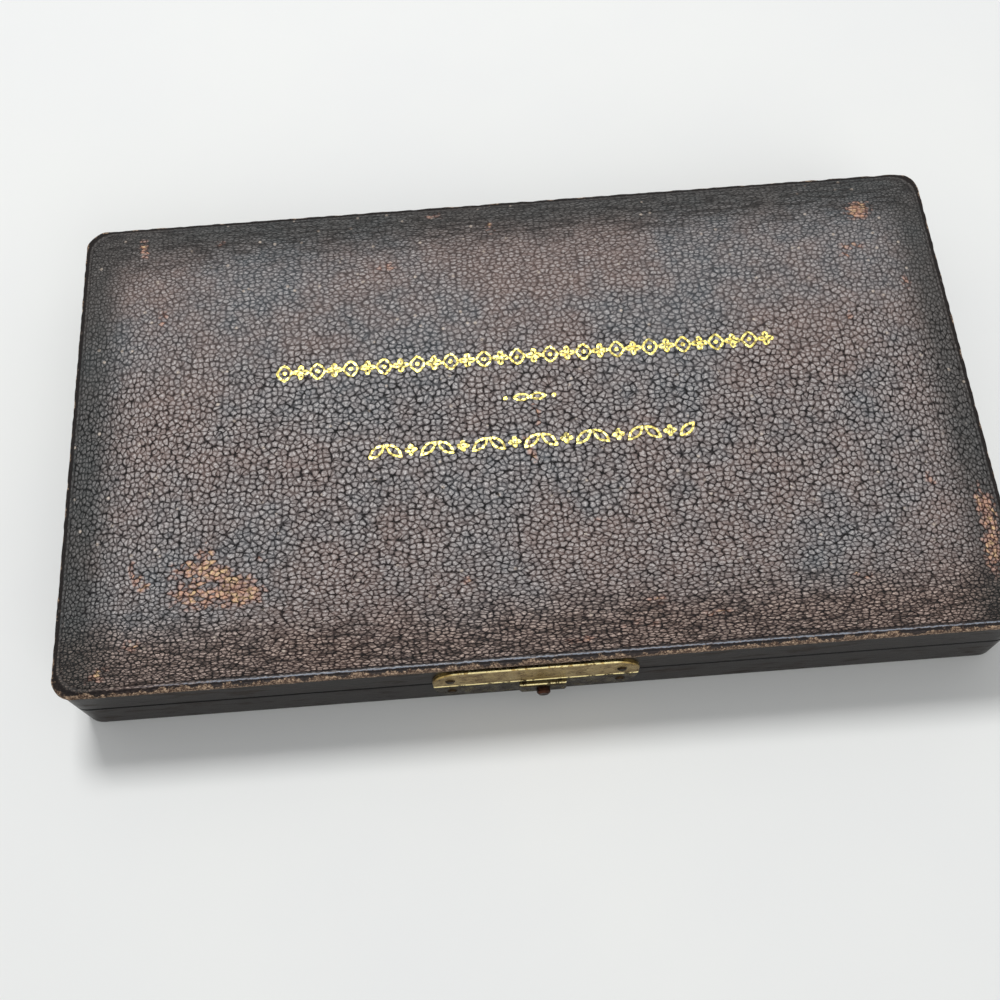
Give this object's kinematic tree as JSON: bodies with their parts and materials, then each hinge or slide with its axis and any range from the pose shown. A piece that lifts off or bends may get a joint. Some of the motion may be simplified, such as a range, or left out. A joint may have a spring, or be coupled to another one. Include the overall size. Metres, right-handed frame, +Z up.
{
  "type": "hemocytometer",
  "caption": "Hemocytometer set in a leather-covered hinged pocket case, with counting chamber, cover glasses and diluting pipettes on velvet rests.",
  "frame": {"origin": "middle of the flat underside of the case", "axes": "+X along the case to the right, -Y its front with the catch, +Z up through the lid"},
  "size_m": [0.165, 0.0974, 0.0195],
  "materials": {
    "grained_leather": "fine morocco grain, dull sheen, worn tan at the edges",
    "case_leather": "smooth glossy black-brown calf",
    "case_wood": "bare, hidden under leather and paper",
    "cotton_wadding": "hidden padding",
    "pad_satin": "satin over thin wadding",
    "card": "plain",
    "lining_paper": "plain glazed paper",
    "velvet": "silk velvet pile",
    "chamber_glass": "ground and polished",
    "pipette_glass": "polished",
    "red_bead": "polished",
    "white_bead": "polished",
    "spring_brass": "plain rolled",
    "button_brass": "dark reddish-brown tarnish",
    "tarnished_brass": "speckled tarnish with bright scratches",
    "hinge_brass": "dull, lightly tarnished"
  },
  "bodies": {
    "case_base": {"base_back_rail": "case_wood", "base_bottom_leather": "case_leather", "base_floor_board": "case_wood", "base_floor_velvet": "velvet", "base_front_rail": "case_wood", "base_left_rail": "case_wood", "base_right_rail": "case_wood", "base_side_leather": "case_leather", "base_wall_lining": "lining_paper", "catch_base_pins": "tarnished_brass", "catch_base_plate": "tarnished_brass", "catch_button_guard": "tarnished_brass", "catch_housing": "spring_brass", "catch_spring": "spring_brass", "chamber_cover_glass": "chamber_glass", "counting_chamber": "chamber_glass", "hinge_left_lower_leaf": "hinge_brass", "hinge_left_pin": "hinge_brass", "hinge_lower_screws": "hinge_brass", "hinge_right_lower_leaf": "hinge_brass", "hinge_right_pin": "hinge_brass", "left_velvet_rest": "velvet", "red_cell_bead": "red_bead", "red_cell_pipette": "pipette_glass", "right_velvet_rest": "velvet", "spare_cover_glass": "chamber_glass", "white_cell_bead": "white_bead", "white_cell_pipette": "pipette_glass"},
    "lid": {"catch_lid_pins": "tarnished_brass", "catch_lid_plate": "tarnished_brass", "catch_tongue": "spring_brass", "hinge_left_upper_leaf": "hinge_brass", "hinge_right_upper_leaf": "hinge_brass", "hinge_upper_screws": "hinge_brass", "lid_back_rail": "case_wood", "lid_board": "case_wood", "lid_front_rail": "case_wood", "lid_left_rail": "case_wood", "lid_pad": "pad_satin", "lid_pad_card": "card", "lid_right_rail": "case_wood", "lid_side_leather": "case_leather", "lid_top_leather": "grained_leather", "lid_wadding": "cotton_wadding", "lid_wall_lining": "lining_paper"},
    "push_button": {"catch_button": "button_brass"}
  },
  "joints": [
    {"name": "lid_hinge", "type": "hinge", "parent": "case_base", "child": "lid", "pos_m": [0, 0.0463, 0.0096], "axis": [-1, 0, 0], "range_deg": [0, 105]},
    {"name": "button_press", "type": "slide", "parent": "case_base", "child": "push_button", "axis": [0, 1, 0], "range_m": [0, 0.00065], "stiffness_N_per_m": 600, "springref_m": -0.0015, "deforming": ["catch_spring"]}
  ]
}
